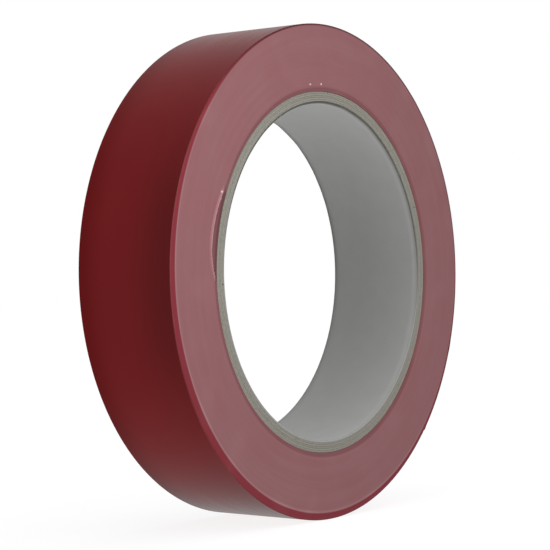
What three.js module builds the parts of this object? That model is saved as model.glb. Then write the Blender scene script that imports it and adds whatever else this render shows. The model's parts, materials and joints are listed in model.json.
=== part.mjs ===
// A roll of PVC electrical tape, wound on a paper core and standing on its rim.
//
// +Z is up, the roll's axis lies along Y, and the origin is the centre of the bore.
// Lengths are in millimetres. Angles are in degrees, from +X towards +Z.
//
// The tape is one strip. Places along it are given as `back`: the angle travelled round the
// roll from the tape's free end towards the core. One whole turn back is one layer deeper.

import * as THREE from 'three';

// The roll.
const boreDiameter = 76.2;
const rollDiameter = 112;
const tapeWidth = 25;
const facetAngle = 3.75;

// The core: board plies, each a strip bent into a ring and closed by one butt joint.
const plyNames = ['core_liner', 'core_ply_2', 'core_ply_3', 'core_ply_4', 'core_ply_5', 'core_wrap'];
const coreWall = 2.65;
const coreEdgeRecess = 0.25;
const glueGap = 0.05;
const buttJointGap = 0.3;
const linerJointAngle = 118;
const jointStagger = 66.4;

// The tape: film with adhesive under it. The adhesive's thickness is left as a gap.
const filmThickness = 0.12;
const adhesiveThickness = 0.02;

// The free end of the tape: rigid links, hinged one after another to the outer turn. Half a facet
// is added to its angle so that the roll stands on the flat of a facet, not on a corner.
const freeEndAngle = -45 + facetAngle / 2;
const linkCount = 12;
const linkAngle = 7.5;
const linkGap = 0.05;

// Sizes that follow from the ones above.
const boreRadius = boreDiameter / 2;
const rollRadius = rollDiameter / 2;
const layerPitch = filmThickness + adhesiveThickness;
const plyThickness = (coreWall - (plyNames.length - 1) * glueGap) / plyNames.length;
const packInnerRadius = boreRadius + coreWall + glueGap;
const lastHingeBack = linkCount * linkAngle;
const linkGapAngle = THREE.MathUtils.radToDeg(linkGap / rollRadius);

// Materials.
const tapeFilm = new THREE.MeshStandardMaterial({ color: 0x861f26, roughness: 0.22, metalness: 0 });
const tapeEdges = new THREE.MeshStandardMaterial({ color: 0x98666b, roughness: 0.6, metalness: 0 });
const coreBoard = new THREE.MeshStandardMaterial({ color: 0x8f8e80, roughness: 0.9, metalness: 0 });
const linerPaper = new THREE.MeshStandardMaterial({ color: 0x9c9b97, roughness: 0.8, metalness: 0 });

// A point `radius` from the roll's axis, in the plane of the side face.
function polarPoint(radius, angle) {
  const turn = THREE.MathUtils.degToRad(angle);
  return new THREE.Vector2(radius * Math.cos(turn), radius * Math.sin(turn));
}

// A point on the strip, `depth` below its outer face.
function stripPoint(back, depth) {
  const radius = rollRadius - layerPitch * back / 360 - depth;
  return polarPoint(radius, freeEndAngle + back);
}

// The angles of the facet corners from `first` to `last`, both included.
function facetAngles(first, last) {
  const steps = Math.ceil((last - first) / facetAngle);
  return Array.from({ length: steps + 1 }, (_, step) => first + (last - first) * step / steps);
}

// A closed outline of one stretch of the strip: out along its outer face, back along its inner face.
function stripShape(firstBack, lastBack, depth) {
  const backs = facetAngles(firstBack, lastBack);
  const outerFace = backs.map((back) => stripPoint(back, 0));
  const innerFace = backs.map((back) => stripPoint(back, depth)).reverse();
  return new THREE.Shape([...outerFace, ...innerFace]);
}

// A body as wide as `width`, centred across the roll, with `shape` as its side face.
// The extrusion runs along Z, so it is turned to run along the roll's axis.
function acrossRoll(name, shape, width, material) {
  const options = { depth: width, bevelEnabled: false, curveSegments: 180 / facetAngle };
  const geometry = new THREE.ExtrudeGeometry(shape, options);
  geometry.rotateX(Math.PI / 2);
  const mesh = new THREE.Mesh(geometry, material);
  mesh.name = name;
  mesh.position.y = width / 2;
  return mesh;
}

// One ply of the core, counted from the bore.
function corePly(name, index) {
  const innerRadius = boreRadius + index * (plyThickness + glueGap);
  const outerRadius = innerRadius + plyThickness;
  const jointAngle = linerJointAngle + index * jointStagger;
  const halfGap = THREE.MathUtils.radToDeg(buttJointGap / 2 / innerRadius);
  const first = THREE.MathUtils.degToRad(jointAngle + halfGap);
  const last = THREE.MathUtils.degToRad(jointAngle + 360 - halfGap);
  const shape = new THREE.Shape();
  shape.absarc(0, 0, outerRadius, first, last, false);
  shape.absarc(0, 0, innerRadius, last, first, true);
  shape.closePath();
  const material = index === 0 ? linerPaper : coreBoard;
  return acrossRoll(name, shape, tapeWidth - 2 * coreEdgeRecess, material);
}

function core() {
  const group = new THREE.Group();
  group.add(...plyNames.map(corePly));
  return group;
}

// Every turn of the tape under the outer one, as one body. Its outline spirals in by one layer
// over a turn. The step back out, under the free end, is where the strip rises to be the outer turn.
function tapePack() {
  const outline = facetAngles(0, 360);
  const shape = new THREE.Shape(outline.map((back) => stripPoint(back, layerPitch)));
  const bore = facetAngles(0, 360).slice(1);
  shape.holes.push(new THREE.Path(bore.map((angle) => polarPoint(packInnerRadius, angle))));
  return acrossRoll('tape_pack', shape, tapeWidth, tapeEdges);
}

// The last turn, from the free end's hinge line to the place where the next layer covers it.
function outerTurn() {
  const shape = stripShape(lastHingeBack + linkGapAngle / 2, 360 - linkGapAngle / 2, filmThickness);
  return acrossRoll('tape_outer_turn', shape, tapeWidth, tapeFilm);
}

// One link of the free end, counted from the outer turn.
function endLink(number) {
  const firstBack = lastHingeBack - number * linkAngle + linkGapAngle / 2;
  const lastBack = firstBack + linkAngle - linkGapAngle;
  const name = `tape_end_${String(number).padStart(2, '0')}`;
  return acrossRoll(name, stripShape(firstBack, lastBack, filmThickness), tapeWidth, tapeFilm);
}

function tape() {
  const group = new THREE.Group();
  group.add(tapePack(), outerTurn());
  for (let number = 1; number <= linkCount; number += 1) {
    group.add(endLink(number));
  }
  return group;
}

const roll = new THREE.Group();
roll.name = 'electrical_tape_roll';
roll.add(core(), tape());

export default roll;
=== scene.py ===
import json
import math

import bmesh
import bpy
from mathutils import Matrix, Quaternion, Vector, noise


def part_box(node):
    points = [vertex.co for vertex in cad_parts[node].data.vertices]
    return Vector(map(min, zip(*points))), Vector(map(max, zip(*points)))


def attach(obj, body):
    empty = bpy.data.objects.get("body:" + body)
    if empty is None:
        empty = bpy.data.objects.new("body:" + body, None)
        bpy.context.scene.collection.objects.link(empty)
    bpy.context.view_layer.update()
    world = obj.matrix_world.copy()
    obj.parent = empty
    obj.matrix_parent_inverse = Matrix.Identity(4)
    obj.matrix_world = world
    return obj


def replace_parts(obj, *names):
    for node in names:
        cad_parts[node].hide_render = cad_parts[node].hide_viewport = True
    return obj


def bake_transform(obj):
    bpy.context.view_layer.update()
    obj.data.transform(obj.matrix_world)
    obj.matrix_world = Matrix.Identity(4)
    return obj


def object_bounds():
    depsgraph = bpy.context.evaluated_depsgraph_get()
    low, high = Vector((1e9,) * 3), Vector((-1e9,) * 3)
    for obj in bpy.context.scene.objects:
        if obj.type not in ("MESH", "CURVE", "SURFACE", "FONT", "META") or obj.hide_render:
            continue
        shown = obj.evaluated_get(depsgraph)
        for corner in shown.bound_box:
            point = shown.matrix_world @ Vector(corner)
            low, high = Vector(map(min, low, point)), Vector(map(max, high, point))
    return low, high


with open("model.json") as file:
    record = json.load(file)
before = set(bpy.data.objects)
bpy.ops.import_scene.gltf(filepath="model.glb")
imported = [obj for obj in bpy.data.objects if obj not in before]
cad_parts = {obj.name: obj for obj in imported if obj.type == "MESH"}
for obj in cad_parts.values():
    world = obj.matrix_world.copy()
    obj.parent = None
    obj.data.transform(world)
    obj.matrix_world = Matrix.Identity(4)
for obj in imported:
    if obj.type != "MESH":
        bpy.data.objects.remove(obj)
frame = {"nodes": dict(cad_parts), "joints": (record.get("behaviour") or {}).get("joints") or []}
cad_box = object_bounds()

# A roll of PVC electrical tape on a paper core, standing on its rim, with the roll's axis along Y.
# Lengths are in metres. Angles are in radians, from +X towards +Z.
# Places along the tape are given as `back`: the angle travelled round the roll from the tape's
# free end towards the core, so one whole turn back is one layer deeper.

MM = 0.001
TURN = 2 * math.pi
FRONT, BACK = -1, 1  # the roll's two side faces, by the sign of Y

# The share of a layer that the strip fills. The rest is clearance to the turn below.
STRIP_SHARE = 0.93

# How finely the meshes are divided: round the roll, across it and in depth along its radius.
WINDING_STEPS_AROUND = 360
WINDING_STEPS_DEEP = 104
STRIP_STEP_ANGLE = math.radians(0.5)
STRIP_STEPS_ACROSS = 12
CORE_STEPS_AROUND = 540
PLY_STEPS_DEEP = 5
PLY_STEPS_ACROSS = 14
SPECK_STEPS_AROUND = 24
SPECK_LEVELS = 12

# Edges sharper than this are shaded as hard edges.
HARD_EDGE_ANGLE = math.radians(40)


# ------------------------------------------------------------------ sizes, from the frame

def ring_radii(node):
    """The smallest and largest distance of a CAD node's corners from the roll's axis."""
    distances = [math.hypot(v.co.x, v.co.z) for v in frame["nodes"][node].data.vertices]
    return min(distances), max(distances)


def polar_angle(point):
    """The angle of a point round the roll's axis."""
    return math.atan2(point[2], point[0])


hinges = frame["joints"]
hinge_angles = [polar_angle(joint["pos_m"]) for joint in hinges]
link_angle = hinge_angles[0] - hinge_angles[1]
free_end_angle = hinge_angles[-1] - link_angle
last_hinge_back = len(hinges) * link_angle

roll_radius = ring_radii(f"tape_end_{len(hinges):02d}")[1]
pack_inner_radius, pack_outer_radius = ring_radii("tape_pack")
bore_radius, liner_outer_radius = ring_radii("core_liner")
layer_pitch = roll_radius - pack_outer_radius
film_thickness = STRIP_SHARE * layer_pitch
half_tape_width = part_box("tape_pack")[1].y
half_core_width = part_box("core_liner")[1].y
floor_height = cad_box[0].z


# ------------------------------------------------------------------ small helpers

# How much ring noise changes round the roll: as over a circle of this radius, in its own units.
RING_NOISE_RADIUS = 2


def smooth_step(low, high, value):
    """0 below low, 1 above high and a smooth rise between them. low may be the larger one."""
    t = min(max((value - low) / (high - low), 0), 1)
    return t * t * (3 - 2 * t)


def fade(value, centre, half_width):
    """1 at centre, falling smoothly to 0 half_width away on either side."""
    return smooth_step(half_width, 0, abs(value - centre))


def spread(low, high, steps):
    """steps + 1 numbers from low to high, both included."""
    return [low + (high - low) * step / steps for step in range(steps + 1)]


def at(radius, angle, y):
    """The point at a distance from the roll's axis, at an angle round it and at y along it."""
    return Vector((radius * math.cos(angle), y, radius * math.sin(angle)))


def ring_noise(radius, angle, grain, seed):
    """Noise from -1 to 1 that drags out along the circumference, as slit edges do."""
    x = RING_NOISE_RADIUS * math.cos(angle)
    z = RING_NOISE_RADIUS * math.sin(angle)
    return noise.noise(Vector((radius / grain, x + seed, z)))


def patch_noise(point, size, seed):
    """Noise from -1 to 1 with round patches of about `size`."""
    return noise.noise(point / size + Vector((seed, 0, 0)))


# ------------------------------------------------------------------ mesh building

def sweep(sections):
    """Joins equal closed loops of points into a skin, with a cap on each end."""
    count = len(sections[0])
    vertices = [point for section in sections for point in section]
    faces = []
    for here in range(0, len(vertices) - count, count):
        there = here + count
        for k in range(count):
            after = (k + 1) % count
            faces.append((here + k, here + after, there + after, there + k))
    faces.append(tuple(range(count)))
    faces.append(tuple(range(len(vertices) - count, len(vertices))))
    return vertices, faces


def add_piece(name, vertices, faces, materials):
    """A shaded mesh object with its faces turned out and its hard edges kept hard."""
    mesh = bpy.data.meshes.new(name)
    mesh.from_pydata(vertices, [], faces)
    skin = bmesh.new()
    skin.from_mesh(mesh)
    bmesh.ops.recalc_face_normals(skin, faces=skin.faces)
    skin.to_mesh(mesh)
    skin.free()
    for material in materials:
        mesh.materials.append(material)
    mesh.shade_smooth()
    mesh.set_sharp_from_angle(angle=HARD_EDGE_ANGLE)
    piece = bpy.data.objects.new(name, mesh)
    bpy.context.scene.collection.objects.link(piece)
    return piece


# ------------------------------------------------------------------ shader helpers

# Shader noise runs from 0 to 1, but mostly lies between these.
NOISE_USUAL = (0.3, 0.7)

# The Mix node has several sockets of each name, so its colour sockets go by number.
MIX_COLOR_INPUTS = (6, 7)
MIX_COLOR_OUTPUT = 2


def add_node(tree, kind, settings=None, inputs=None):
    """Adds a node. An input is given a value, or another node's socket to join it to."""
    node = tree.nodes.new(kind)
    for name, value in (settings or {}).items():
        setattr(node, name, value)
    for name, value in (inputs or {}).items():
        if isinstance(value, bpy.types.NodeSocket):
            tree.links.new(value, node.inputs[name])
        else:
            node.inputs[name].default_value = value
    return node


def calculate(tree, operation, first, second=0.0, third=0.0):
    """One step of arithmetic between sockets or numbers."""
    inputs = {0: first, 1: second, 2: third}
    return add_node(tree, "ShaderNodeMath", {"operation": operation}, inputs).outputs[0]


def remap(tree, value, from_low, from_high, to_low=0.0, to_high=1.0):
    """Smoothly carries value from one range to another, held at the ends."""
    names = ("Value", "From Min", "From Max", "To Min", "To Max")
    inputs = dict(zip(names, (value, from_low, from_high, to_low, to_high)))
    settings = {"interpolation_type": "SMOOTHSTEP"}
    return add_node(tree, "ShaderNodeMapRange", settings, inputs).outputs["Result"]


def noise_range(tree, value, low=0.0, high=1.0):
    """Carries noise, which mostly lies near its middle, to the range from low to high."""
    return remap(tree, value, *NOISE_USUAL, low, high)


def mix_colors(tree, factor, first, second):
    """first at factor 0, second at factor 1."""
    node = add_node(tree, "ShaderNodeMix", {"data_type": "RGBA"}, {"Factor": factor})
    for number, value in zip(MIX_COLOR_INPUTS, (first, second)):
        if isinstance(value, bpy.types.NodeSocket):
            tree.links.new(value, node.inputs[number])
        else:
            node.inputs[number].default_value = (*value, 1)
    return node.outputs[MIX_COLOR_OUTPUT]


def noise_value(tree, vector, scale, detail=3.0, roughness=0.55):
    """Noise from 0 to 1, with `scale` features in a metre."""
    inputs = {"Vector": vector, "Scale": scale, "Detail": detail, "Roughness": roughness}
    return add_node(tree, "ShaderNodeTexNoise", None, inputs).outputs["Fac"]


def bump(tree, height, distance, normal=None):
    """A normal roughened by a height of up to `distance`, on top of another normal if one is given."""
    inputs = {"Height": height, "Distance": distance}
    if normal:
        inputs["Normal"] = normal
    return add_node(tree, "ShaderNodeBump", None, inputs).outputs["Normal"]


def combine_vectors(tree, operation, first, second):
    """One step of arithmetic between vectors: sockets, or triples of numbers."""
    inputs = {0: first, 1: second}
    outputs = add_node(tree, "ShaderNodeVectorMath", {"operation": operation}, inputs).outputs
    return outputs["Value" if operation == "DOT_PRODUCT" else "Vector"]


def stretched(tree, vector, scale):
    """The vector with each axis scaled on its own, to draw noise out into streaks."""
    return combine_vectors(tree, "MULTIPLY", vector, scale)


def axis_value(tree, vector, axis):
    """The X, Y or Z of a vector."""
    return add_node(tree, "ShaderNodeSeparateXYZ", None, {0: vector}).outputs[axis]


def new_material(name):
    """A material with only a Principled shader joined to its output, and the surface position."""
    material = bpy.data.materials.new(name)
    material.use_nodes = True
    tree = material.node_tree
    tree.nodes.clear()
    surface = add_node(tree, "ShaderNodeBsdfPrincipled")
    output = add_node(tree, "ShaderNodeOutputMaterial")
    tree.links.new(surface.outputs["BSDF"], output.inputs["Surface"])
    position = add_node(tree, "ShaderNodeTexCoord").outputs["Object"]
    return material, tree, surface, position


def set_surface(tree, surface, **inputs):
    """Sets the Principled shader's inputs, which are named here in lower case with underscores."""
    for name, value in inputs.items():
        socket = surface.inputs[name.replace("_", " ").title().replace("Ior", "IOR")]
        if isinstance(value, bpy.types.NodeSocket):
            tree.links.new(value, socket)
        else:
            socket.default_value = (*value, 1) if isinstance(value, tuple) else value


def polar_sockets(tree, position):
    """Sockets for the distance from the roll's axis and for the direction away from it."""
    flat = stretched(tree, position, (1, 0, 1))
    radius = add_node(tree, "ShaderNodeVectorMath", {"operation": "LENGTH"}, {0: flat}).outputs["Value"]
    direction = add_node(tree, "ShaderNodeVectorMath", {"operation": "NORMALIZE"}, {0: flat}).outputs[0]
    return radius, direction


def ring_streaks(tree, radius, direction, grain, along=3.0):
    """Noise that is fine across the turns of tape, `grain` apart, and long along them."""
    across = calculate(tree, "DIVIDE", radius, grain)
    offset = add_node(tree, "ShaderNodeCombineXYZ", None, {"Y": across}).outputs[0]
    drawn = stretched(tree, direction, (along, 0, along))
    return noise_value(tree, combine_vectors(tree, "ADD", drawn, offset), 1.0, detail=4.0)


# ------------------------------------------------------------------ the side faces' shape

# The last turns of tape form a clean band at the rim. It is wide on one side of the roll
# and narrow on the other, because the roll was slit a little off centre.
RIM_BAND_NARROW = 0.1 * MM
RIM_BAND_WIDE = 1.8 * MM
RIM_BAND_WIDEST_AT = math.radians(235)
RIM_ROUNDING = 0.24  # of the band's width
RIM_ROUNDING_END = 0.96  # the share of a quarter circle that the rounding takes up

# The first turns stand back from the face and leave a groove beside the core.
GROOVE_WIDTH = 1.35 * MM
GROOVE_WIDTH_SWING = 0.35 * MM
GROOVE_WIDEST_AT = math.radians(-35)
GROOVE_DEPTH = 0.16 * MM
GROOVE_FLOOR_SHARE = 0.5  # of its width; over the rest it rises to the face

# A few turns beside the groove have slipped out in a crescent. Below, it ends sooner and hooks in
# towards the core.
CRESCENT_AT = math.radians(172)
CRESCENT_ANGLE_ABOVE = math.radians(17)
CRESCENT_ANGLE_BELOW = math.radians(12)
CRESCENT_HEIGHT = 0.42 * MM
CRESCENT_WIDTH = 0.55 * MM
CRESCENT_DROP_WIDTH = 0.25 * MM
CRESCENT_NEAREST_ABOVE = 1.15 * MM
CRESCENT_NEAREST_BELOW = 0.4 * MM
CRESCENT_FURTHEST = 2.35 * MM
CRESCENT_END_SHARE = 0.3  # of its bulge away from the core; where it bulges less, it dies away

# The bore's lip is rounded. Over its upper half the liner's edge is also pressed back.
LIP_RADIUS = 0.16 * MM
SETBACK_DEPTH = 0.25 * MM
SETBACK_AT = math.radians(80)
SETBACK_HALF_ANGLE = math.radians(80)
SETBACK_END = 0.15 * MM  # how far beyond the liner it has come to nothing
SETBACK_RAGGEDNESS = 0.5  # how much its depth varies
SETBACK_RAG_SIZE = 4 * MM

# Over all that the face is a little uneven: fine streaks and wider bands along the turns of tape,
# and shallow dents. Nowhere does it stand out of its plane by more than MOST_PROUD.
STREAK_DEPTH = 0.007 * MM
STREAK_WIDTH = 0.35 * MM
BAND_DEPTH = 0.012 * MM
BAND_WIDTH = 1.9 * MM
DENT_DEPTH = 0.03 * MM
DENT_SIZE = 17 * MM
MOST_PROUD = 0.3 * MM

# The core's cut edge is uneven too, from the saw and from the board's fibres.
CUT_DEPTH = 0.03 * MM
CUT_WIDTH = 0.5 * MM
FIBRE_DEPTH = 0.012 * MM
FIBRE_SIZE = 0.9 * MM

# The rear face has the same relief as the front one, turned on by this angle.
REAR_TURN = math.radians(245)

# Seeds, which keep the fields of noise apart. Each ply of the core adds a step to the one before,
# and its rear edge another to its front edge's.
STREAK_SEED = 3.0
BAND_SEED = 11.0
DENT_SEED = 5.0
RUB_SEED = 21.0
CORE_SEED = 7.0
PLY_SEED_STEP = 3
REAR_SEED_STEP = 40

# Tones of the slit edges: 0 is usual, above 0 is lighter and below 0 is darker. The groove gets painted
# shade and the crescent's drop a painted shadow; rubbed patches are lighter at random.
GROOVE_PAINTED_SHADE = -0.8
DROP_PAINTED_SHADOW = -0.9
RUB_TONE = 0.12
RUB_SIZE = 8 * MM
RUB_START, RUB_FULL = 0.1, 0.5  # how high the noise is where a rubbed patch starts, and is full

# A painted highlight line, for the light caught by a step, lies just inside the clean band, where the
# band is wide.
STEP_HIGHLIGHT_TONE = 0.35
STEP_HIGHLIGHT_INSET = 0.3 * MM
STEP_HIGHLIGHT_HALF_WIDTH = 0.45 * MM
STEP_HIGHLIGHT_BAND_START, STEP_HIGHLIGHT_BAND_FULL = 0.5 * MM, 1.4 * MM

# A painted shade line lies on the rim where the band is narrow.
RIM_SHADE_TONE = -2
DARK_RIM_WIDTH = 0.65 * MM
DARK_RIM_FULL_WIDTH = 0.25 * MM
DARK_BAND_START = 1.0 * MM

# A painted highlight line lies on the rim at one side of the roll, where the rim's rounding catches the
# light.
RIM_HIGHLIGHT_TONE = 0.4
PALE_RIM_AT = math.radians(175)
PALE_RIM_HALF_ANGLE = math.radians(62)
PALE_RIM_INSET = 0.1 * MM
PALE_RIM_HALF_WIDTH = 0.35 * MM


def relief_angle(angle, side):
    """The angle to read the front face's relief at, for a place on either side face."""
    return angle if side == FRONT else angle + REAR_TURN


def rim_band_width(angle):
    """The width of the clean band at the rim, at an angle round the roll."""
    share = (1 + math.cos(angle - RIM_BAND_WIDEST_AT)) / 2
    return RIM_BAND_NARROW + (RIM_BAND_WIDE - RIM_BAND_NARROW) * share


def rim_recess(radius, angle):
    """How far the side face rounds away from its plane near the rim."""
    band = rim_band_width(angle)
    across = RIM_ROUNDING_END * min(max((radius - roll_radius + band) / band, 0), 1)
    return band * RIM_ROUNDING * (1 - math.sqrt(1 - across * across))


def groove_share(radius, angle):
    """1 in the groove beside the core, 0 on the open face."""
    width = GROOVE_WIDTH + GROOVE_WIDTH_SWING * math.cos(angle - GROOVE_WIDEST_AT)
    return smooth_step(width, GROOVE_FLOOR_SHARE * width, radius - pack_inner_radius)


def crescent_shares(radius, angle):
    """How much a place is on the crescent's outer slope, and how much on its drop to the groove."""
    along = angle % TURN - CRESCENT_AT
    if along < 0:
        half_angle, nearest = CRESCENT_ANGLE_ABOVE, CRESCENT_NEAREST_ABOVE
    else:
        half_angle, nearest = CRESCENT_ANGLE_BELOW, CRESCENT_NEAREST_BELOW
    share = max(1 - (along / half_angle) ** 2, 0)
    ridge = pack_inner_radius + nearest + (CRESCENT_FURTHEST - nearest) * share
    outside = smooth_step(CRESCENT_WIDTH, 0, radius - ridge)
    inside = smooth_step(-CRESCENT_DROP_WIDTH, 0, radius - ridge)
    presence = smooth_step(0, CRESCENT_END_SHARE, share)
    return presence * outside * inside, presence * outside * (1 - inside)


def face_recess(radius, angle, side):
    """How far the windings' side face stands back from the plane of the tape's edges."""
    turned = relief_angle(angle, side)
    streaks = STREAK_DEPTH * ring_noise(radius, turned, STREAK_WIDTH, STREAK_SEED + side)
    bands = BAND_DEPTH * ring_noise(radius, turned, BAND_WIDTH, BAND_SEED + side)
    dents = DENT_DEPTH * patch_noise(at(radius, turned, 0), DENT_SIZE, DENT_SEED + side)
    slope, drop = crescent_shares(radius, turned)
    relief = rim_recess(radius, turned) + GROOVE_DEPTH * max(groove_share(radius, turned), drop)
    return max(relief - CRESCENT_HEIGHT * slope + streaks + bands + dents, -MOST_PROUD)


def rim_painted_light(from_rim, angle):
    """The painted light near the rim: the highlight line inside the band, the shade line and the
    highlight line on the rim.
    """
    band = rim_band_width(angle)
    wide = smooth_step(STEP_HIGHLIGHT_BAND_START, STEP_HIGHLIGHT_BAND_FULL, band)
    narrow = smooth_step(DARK_BAND_START, DARK_RIM_WIDTH, band)
    at_pale_side = fade(angle % TURN, PALE_RIM_AT, PALE_RIM_HALF_ANGLE)
    step_highlight = wide * fade(from_rim - band, STEP_HIGHLIGHT_INSET, STEP_HIGHLIGHT_HALF_WIDTH)
    rim_shade = narrow * smooth_step(DARK_RIM_WIDTH, DARK_RIM_FULL_WIDTH, from_rim)
    rim_highlight = at_pale_side * fade(from_rim, PALE_RIM_INSET, PALE_RIM_HALF_WIDTH)
    return STEP_HIGHLIGHT_TONE * step_highlight + RIM_SHADE_TONE * rim_shade + RIM_HIGHLIGHT_TONE * rim_highlight


def face_tone(radius, angle, side):
    """How much lighter (above 0) or darker (below 0) the slit edges are at a place: a painted highlight
    on the crescent's crest, painted shadow on its drop, painted shade in the groove, painted light at
    the rim and lighter rubbed patches.
    """
    turned = relief_angle(angle, side)
    slope, drop = crescent_shares(radius, turned)
    painted_crest_highlight = slope ** 3
    groove_shade = groove_share(radius, turned) * (1 - slope)
    patches = patch_noise(at(radius, turned, 0), RUB_SIZE, RUB_SEED + side)
    rub = smooth_step(RUB_START, RUB_FULL, patches)
    # Painted light: a highlight on the crest, a shadow on the drop and shade in the groove. The rubbed
    # patches are real.
    face = painted_crest_highlight + RUB_TONE * rub + DROP_PAINTED_SHADOW * drop + GROOVE_PAINTED_SHADE * groove_shade
    return face + rim_painted_light(roll_radius - radius, turned)


def paint_tone(piece):
    """Stores face_tone at each corner of a piece, for its material to read."""
    tones = piece.data.attributes.new("tone", "FLOAT", "POINT")
    for vertex, tone in zip(piece.data.vertices, tones.data):
        place = vertex.co
        side = FRONT if place.y < 0 else BACK
        tone.value = face_tone(math.hypot(place.x, place.z), polar_angle(place), side)


# ------------------------------------------------------------------ tape

# The strip's corners are cut off by this share of its thickness.
STRIP_CORNER_SHARE = 0.23

# Bending lowers the strip a little just before a hinge at which it leaves the roll. It is hollowed
# there underneath, so that it stays clear of the turn below.
HOLLOW_DEPTH = 0.09 * MM
HOLLOW_BEFORE_HINGE = 1.45 * MM / roll_radius
HOLLOW_HALF_ANGLE = 2.3 * MM / roll_radius
hollow_backs = [
    last_hinge_back - number * link_angle + HOLLOW_BEFORE_HINGE
    for number, joint in enumerate(hinges)
    if joint["name"] in ("peel", "end_lift")
]

# The cut end of the tape curls up a little.
TIP_LIFT = 0.16 * MM
TIP_LIFT_ANGLE = math.radians(1.6)

# How directly a face must point away from the roll's axis, or to it, to be a side of the film: the
# cosine of the angle allowed. The strip's corners count as film, the windings' relief doesn't.
STRIP_FACING = 0.7
WINDINGS_FACING = 0.98

# The places of these in a piece's list of materials. The film comes first.
ADHESIVE_FINISH = 1
EDGE_FINISH = 2


def strip_radius(back):
    """The radius of the strip's outer face."""
    return roll_radius - layer_pitch * back / TURN


def winding_section(back):
    """The section of the turns under the outer one, at one angle round the roll."""
    angle = free_end_angle + back
    outer = strip_radius(back) - layer_pitch
    radii = spread(pack_inner_radius, outer, WINDING_STEPS_DEEP)
    front = [at(r, angle, -half_tape_width + face_recess(r, angle, FRONT)) for r in radii]
    rear = [at(r, angle, half_tape_width - face_recess(r, angle, BACK)) for r in reversed(radii)]
    return front + rear


def finish_by_facing(piece, limit):
    """Gives film to the faces turned away from the roll's axis, adhesive to those turned to it,
    and the edge finish to the rest. The piece's materials are in that order."""
    for face in piece.data.polygons:
        outward = Vector((face.center.x, 0, face.center.z)).normalized()
        facing = face.normal.dot(outward)
        if facing < -limit:
            face.material_index = ADHESIVE_FINISH
        elif facing < limit:
            face.material_index = EDGE_FINISH


def build_windings(materials):
    """One body for every turn under the outer one, with both side faces in relief."""
    first = last_hinge_back + link_angle / 2
    backs = spread(first, first + TURN, WINDING_STEPS_AROUND)
    vertices, faces = sweep([winding_section(back) for back in backs])
    piece = add_piece("tape_windings", vertices, faces, materials)
    finish_by_facing(piece, WINDINGS_FACING)
    paint_tone(piece)
    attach(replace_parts(piece, "tape_pack"), "roll")
    return piece


def tip_lift(back):
    """How far the outer face is raised near the cut end."""
    return TIP_LIFT * smooth_step(TIP_LIFT_ANGLE, 0, back) ** 2


def hollow(back):
    """How much of the strip's thickness is missing underneath."""
    return HOLLOW_DEPTH * max(fade(back, centre, HOLLOW_HALF_ANGLE) for centre in hollow_backs)


def strip_edge(radius, back, side):
    """Where along Y one edge of the strip is, at a distance from the roll's axis."""
    turned = relief_angle(free_end_angle + back, side)
    return side * (half_tape_width - rim_recess(radius, turned))


def strip_section(back):
    """The section of the strip: its outer face, one edge, its adhesive face, the other edge."""
    angle = free_end_angle + back
    outer = strip_radius(back) + tip_lift(back)
    inner = outer - film_thickness + hollow(back)
    corner = STRIP_CORNER_SHARE * (outer - inner)
    on_rim = strip_radius(back % TURN)
    front_outer, rear_outer = (strip_edge(on_rim, back, side) for side in (FRONT, BACK))
    front_inner, rear_inner = (strip_edge(on_rim - film_thickness, back, side) for side in (FRONT, BACK))
    outward = spread(front_outer + corner, rear_outer - corner, STRIP_STEPS_ACROSS)
    inward = spread(rear_inner - corner, front_inner + corner, STRIP_STEPS_ACROSS)
    outer_face = [at(outer, angle, y) for y in outward]
    rear_edge = [at(outer - corner, angle, rear_outer), at(inner + corner, angle, rear_inner)]
    inner_face = [at(inner, angle, y) for y in inward]
    front_edge = [at(inner + corner, angle, front_inner), at(outer - corner, angle, front_outer)]
    return outer_face + rear_edge + inner_face + front_edge


def build_strip(name, first_back, last_back, materials):
    """A stretch of the strip, as a closed body."""
    steps = round((last_back - first_back) / STRIP_STEP_ANGLE)
    sections = [strip_section(back) for back in spread(first_back, last_back, steps)]
    vertices, faces = sweep(sections)
    piece = add_piece(name, vertices, faces, materials)
    finish_by_facing(piece, STRIP_FACING)
    paint_tone(piece)
    return piece


def build_tape(materials):
    """The last turn rides on the roll. The free end bends across each hinge, from the middle of
    one link to the middle of the next, so that it peels off as one smooth strip."""
    half = link_angle / 2
    first = last_hinge_back + half
    last_turn = build_strip("tape_last_turn", first, first + TURN, materials)
    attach(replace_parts(last_turn, "tape_outer_turn"), "roll")
    for number, joint in enumerate(hinges, start=1):
        hinge_back = last_hinge_back - (number - 1) * link_angle
        nearer, further = hinge_back + half, hinge_back - half
        bend = build_strip(f"tape_end_bend_{number:02d}", further, nearer, materials)
        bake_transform(bend)
        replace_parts(bend, f"tape_end_{number:02d}")
    tip = build_strip("tape_end_tip", 0, half, materials)
    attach(tip, hinges[-1]["child"])


# Specks of adhesive, squeezed out of the front face in two pairs. For each, the angle in degrees,
# and the distance from the core and the radius in millimetres.
SPECKS = (
    (94.1, 1.50, 0.26),
    (99.7, 1.58, 0.23),
    (157.5, 1.81, 0.26),
    (159.2, 1.31, 0.20),
)
SPECK_UNEVENNESS = 0.3
SPECK_NOISE_RADIUS = 1.5
SPECK_TILTS = spread(math.radians(-60), math.radians(85), SPECK_LEVELS)


def speck_loop(centre, size, tilt):
    """One level of a speck: tilt is 0 at its widest and a right angle at its tip."""
    loop = []
    for turn in spread(0, TURN, SPECK_STEPS_AROUND)[:-1]:
        around = at(SPECK_NOISE_RADIUS, turn, 0)
        unevenness = noise.noise(Vector((around.x, around.z, centre.x / MM)))
        reach = size * (1 + SPECK_UNEVENNESS * unevenness) * math.cos(tilt)
        loop.append(centre + at(reach, turn, -size * math.sin(tilt)))
    return loop


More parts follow.
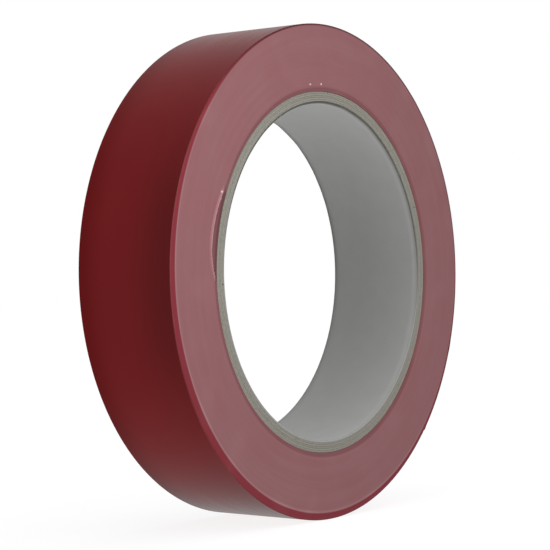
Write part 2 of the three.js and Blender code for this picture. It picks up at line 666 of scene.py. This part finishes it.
def build_specks(material):
    """Shiny drops, each with its underside sunk in the side face."""
    specks = []
    for number, (degrees, from_core, size) in enumerate(SPECKS, start=1):
        angle = math.radians(degrees)
        radius = pack_inner_radius + from_core * MM
        centre = at(radius, angle, -half_tape_width + face_recess(radius, angle, FRONT))
        loops = [speck_loop(centre, size * MM, tilt) for tilt in SPECK_TILTS]
        vertices, faces = sweep(loops)
        speck = add_piece(f"adhesive_speck_{number:02d}", vertices, faces, [material])
        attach(speck, "roll")
        specks.append(speck)
    return specks


# ------------------------------------------------------------------ core

# Corners are told apart by their angles, rounded to this many decimals. Those whose angles differ
# by less than IN_LINE radians are in line, one behind another.
ANGLE_DECIMALS = 4
IN_LINE = 0.002


def butt_joint(node):
    """The angles of a ply's two ends: its closest pair of corners that aren't in line."""
    vertices = frame["nodes"][node].data.vertices
    corners = sorted({round(polar_angle(v.co) % TURN, ANGLE_DECIMALS) for v in vertices})
    pairs = zip(corners, corners[1:] + [corners[0] + TURN])
    gaps = [(b - a, a, b) for a, b in pairs if b - a > IN_LINE]
    _, first, second = min(gaps)
    return second, first + TURN


def core_recess(radius, angle, seed):
    """How far a ply's cut edge stands back: the lip at the bore, the liner's ragged setback over
    the upper half, and the cut's unevenness."""
    from_bore = min(max(radius - bore_radius, 0), LIP_RADIUS)
    lip = LIP_RADIUS - math.sqrt(LIP_RADIUS ** 2 - (LIP_RADIUS - from_bore) ** 2)
    ragged = 1 + SETBACK_RAGGEDNESS * patch_noise(at(radius, angle, 0), SETBACK_RAG_SIZE, seed)
    over_liner = smooth_step(liner_outer_radius + SETBACK_END, liner_outer_radius, radius)
    over_top = fade(angle % TURN, SETBACK_AT, SETBACK_HALF_ANGLE)
    setback = SETBACK_DEPTH * ragged * over_liner * over_top
    cut = CUT_DEPTH * ring_noise(radius, angle, CUT_WIDTH, seed)
    fibres = FIBRE_DEPTH * patch_noise(at(radius, angle, 0), FIBRE_SIZE, seed)
    return lip + setback + cut + fibres


def ply_section(inner, outer, angle, seed):
    """The section of a ply at one angle: its front edge, its rear edge and its inner face."""
    radii = spread(inner, outer, PLY_STEPS_DEEP)
    front = [at(r, angle, -half_core_width + core_recess(r, angle, seed)) for r in radii]
    rear_seed = seed + REAR_SEED_STEP
    rear = [at(r, angle, half_core_width - core_recess(r, angle, rear_seed)) for r in reversed(radii)]
    across = spread(rear[-1].y, front[0].y, PLY_STEPS_ACROSS)
    return front + rear + [at(inner, angle, y) for y in across[1:-1]]


def build_ply(node, material, seed):
    """One ply of the core: a ring with a butt joint where the CAD node has it."""
    inner, outer = ring_radii(node)
    angles = spread(*butt_joint(node), CORE_STEPS_AROUND)
    sections = [ply_section(inner, outer, angle, seed) for angle in angles]
    vertices, faces = sweep(sections)
    piece = add_piece(node + "_paper", vertices, faces, [material])
    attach(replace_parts(piece, node), "roll")
    return piece


# Each board ply is a little lighter or darker than the next, from the bore outwards.
BOARD_SHADES = (0.97, 1.04, 0.93, 1.02, 0.98)


def build_core():
    """The liner and the board plies, which are returned."""
    build_ply("core_liner", liner_material(), CORE_SEED)
    nodes = sorted(node for node in frame["nodes"] if node.startswith("core_") and node != "core_liner")
    plies = []
    for number, (node, shade) in enumerate(zip(nodes, BOARD_SHADES), start=1):
        material = board_material(f"core board {number}", shade)
        plies.append(build_ply(node, material, CORE_SEED + PLY_SEED_STEP * number))
    return plies


# ------------------------------------------------------------------ materials

# Scales of noise are in features to a metre. A stretch draws noise out along the axes where it is
# small. A pair of numbers is a range: from, to.

# The film drifts between two reds. Towards its front and rear edges it is painted darker: painted shade
# for how the light falls off across the tread.
FILM_DEEP = (0.260, 0.020, 0.023)
FILM_BRIGHT = (0.302, 0.024, 0.027)
FILM_FRONT_PAINTED_SHADE = (0.11, 0.016, 0.017)
FILM_REAR_PAINTED_SHADE = (0.17, 0.003, 0.003)
FILM_DRIFT_SCALE = 45
FILM_ROUGHNESS = (0.18, 0.26)

# Where along Y the painted shade falls, and how strong it is. The front's painted shade is weaker high
# up or low down on the roll.
FRONT_PAINTED_SHADE_SPAN = (0.1 * half_tape_width, -0.9 * half_tape_width)
FRONT_PAINTED_SHADE_SHARE = 0.5
REAR_PAINTED_SHADE_SPAN = (0.4 * half_tape_width, 1.1 * half_tape_width)
REAR_PAINTED_SHADE_SHARE = 0.55
LEVEL_TO_HIGH = (0.15, 0.7)
HIGH_SHARE = 0.2

# Stretch lines run along the strip, over a soft ripple.
FILM_LINE_SCALES = (60, 1400, 60)
FILM_LINE_DEPTH = 0.0015 * MM
FILM_RIPPLE_SCALE = 130
FILM_RIPPLE_STRETCH = (1, 0.35, 1)
FILM_RIPPLE_DEPTH = 0.02 * MM


def film_painted_shade_shares(tree, position):
    """How strong the painted shade on the film is, towards its front edge and towards its rear edge."""
    across = axis_value(tree, position, "Y")
    _, direction = polar_sockets(tree, position)
    height = calculate(tree, "ABSOLUTE", axis_value(tree, direction, "Z"))
    level = remap(tree, height, *LEVEL_TO_HIGH, 1.0, HIGH_SHARE)
    front = remap(tree, across, *FRONT_PAINTED_SHADE_SPAN, 0.0, FRONT_PAINTED_SHADE_SHARE)
    rear = remap(tree, across, *REAR_PAINTED_SHADE_SPAN, 0.0, REAR_PAINTED_SHADE_SHARE)
    return calculate(tree, "MULTIPLY", front, level), rear


def film_material():
    """Smooth glossy PVC, with painted shade towards its front and rear edges."""
    material, tree, surface, position = new_material("red PVC film")
    drift = noise_value(tree, position, FILM_DRIFT_SCALE, detail=2.0)
    lines = noise_value(tree, stretched(tree, position, FILM_LINE_SCALES), 1.0, detail=2.0)
    rippled = stretched(tree, position, FILM_RIPPLE_STRETCH)
    ripple = noise_value(tree, rippled, FILM_RIPPLE_SCALE, detail=2.0)
    front, rear = film_painted_shade_shares(tree, position)
    color = mix_colors(tree, drift, FILM_DEEP, FILM_BRIGHT)
    # Painted shade: the film is darkened towards its front and rear edges.
    color = mix_colors(tree, front, color, FILM_FRONT_PAINTED_SHADE)
    color = mix_colors(tree, rear, color, FILM_REAR_PAINTED_SHADE)
    normal = bump(tree, ripple, FILM_RIPPLE_DEPTH)
    normal = bump(tree, lines, FILM_LINE_DEPTH, normal=normal)
    roughness = noise_range(tree, lines, *FILM_ROUGHNESS)
    set_surface(tree, surface, base_color=color, roughness=roughness, normal=normal)
    return material


ADHESIVE_DARK = (0.13, 0.018, 0.020)
ADHESIVE_PALE = (0.19, 0.030, 0.032)
ADHESIVE_PATCH_SCALE = 120
ADHESIVE_ROUGHNESS = (0.32, 0.48)
PEBBLE_SCALE = 2600
PEBBLE_DEPTH = 0.02 * MM


def adhesive_material():
    """The tacky underside: darker, duller and slightly pebbled."""
    material, tree, surface, position = new_material("tape adhesive")
    pebbles = noise_value(tree, position, PEBBLE_SCALE, detail=3.0)
    patches = noise_value(tree, position, ADHESIVE_PATCH_SCALE, detail=2.0)
    color = mix_colors(tree, patches, ADHESIVE_DARK, ADHESIVE_PALE)
    roughness = noise_range(tree, patches, *ADHESIVE_ROUGHNESS)
    normal = bump(tree, pebbles, PEBBLE_DEPTH)
    set_surface(tree, surface, base_color=color, roughness=roughness, normal=normal)
    return material


# The specks' pale colour is a painted glint.
SPECK_PAINTED_GLINT_DIM = (0.42, 0.24, 0.25)
SPECK_PAINTED_GLINT_BRIGHT = (0.58, 0.42, 0.42)
SPECK_ROUGHNESS = (0.12, 0.22)
SPECK_CLOUD_SCALE = 4000
SPECK_CLOUD_DEPTH = 0.01 * MM


def speck_material():
    """Clear adhesive with a wet shine, a little clouded. Its pale colour is a painted glint, on top of
    the real shine.
    """
    material, tree, surface, position = new_material("adhesive specks")
    clouds = noise_value(tree, position, SPECK_CLOUD_SCALE, detail=2.0)
    color = mix_colors(tree, clouds, SPECK_PAINTED_GLINT_DIM, SPECK_PAINTED_GLINT_BRIGHT)
    roughness = noise_range(tree, clouds, *SPECK_ROUGHNESS)
    normal = bump(tree, clouds, SPECK_CLOUD_DEPTH)
    set_surface(tree, surface, base_color=color, roughness=roughness, normal=normal)
    return material


# The slit edges' colours, without and under the bloom, and the painted shade where their tone is lowest
# and the painted highlight where it is highest.
CLEAN_EDGE = (0.175, 0.022, 0.031)
BLOOM = (0.218, 0.090, 0.097)
PAINTED_SHADE_EDGE = (0.075, 0.018, 0.022)
PAINTED_SHADE_EDGE_SHARE = 0.9
PAINTED_HIGHLIGHT_EDGE = (0.62, 0.40, 0.42)
PAINTED_HIGHLIGHT_EDGE_SHARE = 0.4

# How thick the bloom is, and what coarse and fine streaks along the turns add to that. Where the tone is
# below 0 it thins to GROOVE_BLOOM_SHARE, which adds to the painted shade there.
BLOOM_HAZE = (0.80, 0.90)
BLOOM_MOTTLE_SCALE = 110
COARSE_STREAK_WIDTH = 1.1 * MM
COARSE_STREAK_HAZE = (-0.05, 0.06)
FINE_STREAK_WIDTH = 0.14 * MM
FINE_STREAK_HAZE = (-0.03, 0.03)
FINE_STREAK_DEPTH = 0.008 * MM
GROOVE_BLOOM_SHARE = 0.75

# The clean and the bloomed edges' finish, which changes from the one to the other up to FULL_BLOOM.
FULL_BLOOM = 0.8
EDGE_ROUGHNESS = (0.40, 0.58)
EDGE_SHINE = (0.12, 0.5)

# Where the bloom ends at the clean band: how unevenly, and over what distance.
BLOOM_WAVER = 0.12 * MM
BLOOM_FADE = 0.14 * MM


def rim_mask(tree, radius, direction, waver):
    """1 on the open face, 0 on the clean band at the rim, whose width swings round the roll."""
    widest = tuple(at(1, RIM_BAND_WIDEST_AT, 0))
    swing = combine_vectors(tree, "DOT_PRODUCT", direction, widest)
    half_swing = (RIM_BAND_WIDE - RIM_BAND_NARROW) / 2
    band = calculate(tree, "MULTIPLY_ADD", swing, half_swing, RIM_BAND_NARROW + half_swing)
    from_rim = calculate(tree, "SUBTRACT", roll_radius, radius)
    inside = calculate(tree, "SUBTRACT", from_rim, band)
    wavered = calculate(tree, "MULTIPLY_ADD", waver, BLOOM_WAVER, inside)
    return remap(tree, wavered, 0.0, BLOOM_FADE)


def edge_material():
    """The slit edges of the turns: red film under a pale bloom, which is missing in the clean
    band at the rim, and thin in the groove beside the core. Their tone adds painted shade and painted
    highlights."""
    material, tree, surface, position = new_material("slit tape edges")
    radius, direction = polar_sockets(tree, position)
    tone = add_node(tree, "ShaderNodeAttribute", {"attribute_name": "tone"}).outputs["Fac"]
    fine = ring_streaks(tree, radius, direction, FINE_STREAK_WIDTH)
    coarse = ring_streaks(tree, radius, direction, COARSE_STREAK_WIDTH, along=1.5)
    mottle = noise_value(tree, position, BLOOM_MOTTLE_SCALE, detail=3.0)
    haze = noise_range(tree, mottle, *BLOOM_HAZE)
    haze = calculate(tree, "ADD", haze, noise_range(tree, coarse, *COARSE_STREAK_HAZE))
    haze = calculate(tree, "ADD", haze, noise_range(tree, fine, *FINE_STREAK_HAZE))
    haze = calculate(tree, "MULTIPLY", haze, remap(tree, tone, -1.0, 0.0, GROOVE_BLOOM_SHARE, 1.0))
    haze = calculate(tree, "MULTIPLY", haze, rim_mask(tree, radius, direction, fine))
    color = mix_colors(tree, haze, CLEAN_EDGE, BLOOM)
    # Painted shade: the lower the tone, the nearer the colour is to the painted shade colour.
    dark = remap(tree, tone, 0.0, RIM_SHADE_TONE, 0.0, PAINTED_SHADE_EDGE_SHARE)
    color = mix_colors(tree, dark, color, PAINTED_SHADE_EDGE)
    # Painted highlight: the crescent's crest and the rim's highlight lines are painted paler.
    painted_highlight = remap(tree, tone, 0.0, 1.0, 0.0, PAINTED_HIGHLIGHT_EDGE_SHARE)
    color = mix_colors(tree, painted_highlight, color, PAINTED_HIGHLIGHT_EDGE)
    roughness = remap(tree, haze, 0.0, FULL_BLOOM, *EDGE_ROUGHNESS)
    shine = remap(tree, haze, 0.0, FULL_BLOOM, *EDGE_SHINE)
    normal = bump(tree, fine, FINE_STREAK_DEPTH)
    set_surface(tree, surface, base_color=color, roughness=roughness, normal=normal)
    set_surface(tree, surface, specular_ior_level=shine)
    return material


BOARD_DARK = (0.178, 0.170, 0.144)
BOARD_PALE = (0.24, 0.23, 0.197)
BOARD_ROUGHNESS = 0.88
BOARD_FIBRE_WIDTH = 0.12 * MM
BOARD_FIBRE_DEPTH = 0.03 * MM
BOARD_FIBRES_AROUND = 60.0

# Dark specks in the board, where a noise is higher than usual.
BOARD_SPECK = (0.16, 0.15, 0.11)
BOARD_SPECK_SHARE = 0.5
BOARD_SPECK_SCALE = 900
BOARD_SPECK_NOISE = (0.62, 0.75)


def board_material(name, shade):
    """Raw cut board: olive grey, with fibres drawn out round the ring."""
    material, tree, surface, position = new_material(name)
    radius, direction = polar_sockets(tree, position)
    fibres = ring_streaks(tree, radius, direction, BOARD_FIBRE_WIDTH, along=BOARD_FIBRES_AROUND)
    specks = noise_value(tree, position, BOARD_SPECK_SCALE, detail=4.0)
    specks = remap(tree, specks, *BOARD_SPECK_NOISE, 0.0, BOARD_SPECK_SHARE)
    dark, pale = (tuple(channel * shade for channel in color) for color in (BOARD_DARK, BOARD_PALE))
    color = mix_colors(tree, noise_range(tree, fibres), dark, pale)
    color = mix_colors(tree, specks, color, BOARD_SPECK)
    normal = bump(tree, fibres, BOARD_FIBRE_DEPTH)
    set_surface(tree, surface, base_color=color, roughness=BOARD_ROUGHNESS, normal=normal)
    return material


LINER_DARK = (0.51, 0.51, 0.505)
LINER_PALE = (0.57, 0.57, 0.56)
LINER_CLOUD_SCALE = 260
LINER_ROUGHNESS = (0.42, 0.56)
LINER_FIBRE_SCALE = 1500
LINER_FIBRE_STRETCH = (1, 3.5, 1)
LINER_FIBRE_DEPTH = 0.012 * MM

# The liner's cut edge, whose normal lies more along Y than the bore's, is a little darker all round, and
# darkest where it is
# # pressed back, which is painted shadow of that step. SETBACK_NEARNESS is the cosine of the angle from
# there.
LINER_CUT_EDGE_AND_SHADOW = (0.13, 0.128, 0.11)
SETBACK_NEARNESS = (-0.3, 0.5)
CUT_EDGE_SHADES = (0.3, 1.0)
CUT_EDGE_NORMAL = (0.1, 0.4)


def cut_edge_and_setback_shadow(tree, position):
    """Up to 1 on the liner's cut edge where that is pressed back, as painted shadow of the step, less
    lower down, 0 on the bore.
    """
    _, direction = polar_sockets(tree, position)
    nearness = combine_vectors(tree, "DOT_PRODUCT", direction, tuple(at(1, SETBACK_AT, 0)))
    shade = remap(tree, nearness, *SETBACK_NEARNESS, *CUT_EDGE_SHADES)
    normal = add_node(tree, "ShaderNodeNewGeometry").outputs["Normal"]
    facing = calculate(tree, "ABSOLUTE", axis_value(tree, normal, "Y"))
    return calculate(tree, "MULTIPLY", remap(tree, facing, *CUT_EDGE_NORMAL), shade)


def liner_material():
    """Smooth grey paper, calendered to a slight shine. Its cut edge is darker, with painted shadow where
    it is pressed back.
    """
    material, tree, surface, position = new_material("grey liner paper")
    cloud = noise_value(tree, position, LINER_CLOUD_SCALE, detail=4.0)
    drawn = stretched(tree, position, LINER_FIBRE_STRETCH)
    fibres = noise_value(tree, drawn, LINER_FIBRE_SCALE, detail=3.0)
    color = mix_colors(tree, cloud, LINER_DARK, LINER_PALE)
    # Painted shadow in the setback, over the cut edge's own darker colour.
    color = mix_colors(tree, cut_edge_and_setback_shadow(tree, position), color, LINER_CUT_EDGE_AND_SHADOW)
    roughness = noise_range(tree, fibres, *LINER_ROUGHNESS)
    normal = bump(tree, fibres, LINER_FIBRE_DEPTH)
    set_surface(tree, surface, base_color=color, roughness=roughness, normal=normal)
    return material


# ------------------------------------------------------------------ stage, light and camera

# The camera is level with the roll, in front of it and to its left. The shifts are in image widths.
VIEW_AZIMUTH = math.radians(-53.8)
VIEW_ELEVATION = math.radians(-0.77)
VIEW_ROLL = math.radians(-0.26)
VIEW_DISTANCE = 7.16 * roll_radius
FOCAL_LENGTH = 113.8  # in millimetres, for the camera's standard sensor
SHIFT_RIGHT = -0.0179
SHIFT_UP = -0.0046

# The floor lies just under the roll, so that it cuts into nothing. It glows a little less than white.
FLOOR_RADIUS = 6.0
FLOOR_STEPS_AROUND = 96
FLOOR_GAP = 0.05 * MM
FLOOR_DARK = (0.21, 0.21, 0.21)
FLOOR_PALE = (0.23, 0.23, 0.23)
FLOOR_DRIFT_SCALE = 3.0
FLOOR_ROUGHNESS = 0.9
FLOOR_GLOW = 0.86
WHITE = (1.0, 1.0, 1.0)

# The light tent. Behind the roll it is darkest toward one side, brighter away from it and brighter
# again below; ahead of the roll it is dim at the camera's level and bright above and below.
DARK_SIDE = tuple(Vector((-0.805, 0.593, 0.0)).normalized())
DARKEST_TOWARD = 0.93
BRIGHTEST_TOWARD = -0.21
DARKEST = 0.03
BRIGHTER_AWAY = 0.41
DARKNESS_FALL = 1.75
BEHIND_AND_BELOW = 1.28
AHEAD_AT_LEVEL = 0.41
AHEAD_ABOVE_AND_BELOW = 1.22

# Where its brightness changes, in the Z (up) and the Y (back) of a direction of length 1.
LOW_TO_HIGH = (-0.8, 0.4)
LEVEL_TO_SLANTED = (0.1, 0.75)
BEHIND_TO_AHEAD = (0.45, -0.05)


def build_floor():
    """A wide pale disc just under the roll, lit so brightly that only the roll's contact shadow
    shows on it. It sends no light back to the roll, which the light tent does from below."""
    mesh = bpy.data.meshes.new("floor")
    disc = bmesh.new()
    bmesh.ops.create_circle(disc, cap_ends=True, segments=FLOOR_STEPS_AROUND, radius=FLOOR_RADIUS)
    disc.to_mesh(mesh)
    disc.free()
    floor = bpy.data.objects.new("floor", mesh)
    floor.location.z = floor_height - FLOOR_GAP
    floor.visible_diffuse = False
    floor.visible_glossy = False
    bpy.context.scene.collection.objects.link(floor)
    material, tree, surface, position = new_material("pale floor")
    tone = noise_value(tree, position, FLOOR_DRIFT_SCALE)
    color = mix_colors(tree, tone, FLOOR_DARK, FLOOR_PALE)
    set_surface(tree, surface, base_color=color, roughness=FLOOR_ROUGHNESS, specular_ior_level=0.0)
    set_surface(tree, surface, emission_color=WHITE, emission_strength=FLOOR_GLOW)
    mesh.materials.append(material)


def tent_brightness(tree):
    """How bright the light tent is in each direction."""
    direction = add_node(tree, "ShaderNodeTexCoord").outputs["Generated"]
    height = axis_value(tree, direction, "Z")
    toward = combine_vectors(tree, "DOT_PRODUCT", direction, DARK_SIDE)
    inputs = {"Value": toward, "From Min": DARKEST_TOWARD, "From Max": BRIGHTEST_TOWARD}
    away = add_node(tree, "ShaderNodeMapRange", None, inputs).outputs["Result"]
    fall = calculate(tree, "POWER", away, DARKNESS_FALL)
    behind = calculate(tree, "MULTIPLY_ADD", fall, BRIGHTER_AWAY, DARKEST)
    below = remap(tree, height, *LOW_TO_HIGH, BEHIND_AND_BELOW, 1.0)
    behind = calculate(tree, "MULTIPLY", behind, below)
    slant = calculate(tree, "ABSOLUTE", height)
    ahead = remap(tree, slant, *LEVEL_TO_SLANTED, AHEAD_AT_LEVEL, AHEAD_ABOVE_AND_BELOW)
    ahead_share = remap(tree, axis_value(tree, direction, "Y"), *BEHIND_TO_AHEAD)
    extra = calculate(tree, "SUBTRACT", ahead, behind)
    return calculate(tree, "MULTIPLY_ADD", extra, ahead_share, behind)


def build_light():
    """A white tent all round, above and below, with one dark side, at the left of the camera.
    The camera itself sees plain white where it misses the roll."""
    world = bpy.data.worlds.new("studio")
    bpy.context.scene.world = world
    world.use_nodes = True
    tree = world.node_tree
    tree.nodes.clear()
    seen = add_node(tree, "ShaderNodeLightPath").outputs["Is Camera Ray"]
    strength = calculate(tree, "MAXIMUM", tent_brightness(tree), seen)
    glow = add_node(tree, "ShaderNodeBackground", None, {"Color": (*WHITE, 1), "Strength": strength})
    output = add_node(tree, "ShaderNodeOutputWorld")
    tree.links.new(glow.outputs[0], output.inputs["Surface"])
    bpy.context.scene.view_settings.view_transform = "Standard"


# Soft lights: where the middle is, the diameter, and the power in watts.
FRONT_SOFTBOX = ((-0.19, -0.16, 0.15), 0.2, 0.75)
REAR_SOFTBOX = ((-0.1, 0.5, 0.25), 0.5, 2.8)


def build_softbox(name, place, diameter, watts, lit):
    """A round soft light, turned to the roll, that lights only the pieces in one collection."""
    data = bpy.data.lights.new(name, "AREA")
    data.shape = "DISK"
    data.size = diameter
    data.energy = watts
    softbox = bpy.data.objects.new(name, data)
    softbox.location = place
    softbox.rotation_mode = "QUATERNION"
    softbox.rotation_quaternion = (-softbox.location).to_track_quat("-Z", "Y")
    softbox.light_linking.receiver_collection = lit
    bpy.context.scene.collection.objects.link(softbox)


def build_softboxes(lit_pieces):
    """One light close to the front side face, above it and to its left, and a larger one behind,
    which makes up for the tent's dark side. Both light only the pieces they are given."""
    lit = bpy.data.collections.new("lit by the softboxes")
    for piece in lit_pieces:
        lit.objects.link(piece)
    build_softbox("front softbox", *FRONT_SOFTBOX, lit)
    build_softbox("rear softbox", *REAR_SOFTBOX, lit)


def build_camera():
    """The one camera, aimed at the middle of the bore."""
    toward_camera = Vector((
        math.sin(VIEW_AZIMUTH) * math.cos(VIEW_ELEVATION),
        -math.cos(VIEW_AZIMUTH) * math.cos(VIEW_ELEVATION),
        math.sin(VIEW_ELEVATION),
    ))
    data = bpy.data.cameras.new("camera")
    data.lens = FOCAL_LENGTH
    data.shift_x = SHIFT_RIGHT
    data.shift_y = SHIFT_UP
    camera = bpy.data.objects.new("camera", data)
    camera.location = toward_camera * VIEW_DISTANCE
    camera.rotation_mode = "QUATERNION"
    look = (-toward_camera).to_track_quat("-Z", "Y")
    camera.rotation_quaternion = look @ Quaternion((0, 0, 1), VIEW_ROLL)
    bpy.context.scene.collection.objects.link(camera)
    bpy.context.scene.camera = camera


tape_finishes = [film_material(), adhesive_material(), edge_material()]
windings = build_windings(tape_finishes)
build_tape(tape_finishes)
specks = build_specks(speck_material())
board_plies = build_core()
build_floor()
build_light()
build_softboxes([windings] + specks + board_plies)
build_camera()
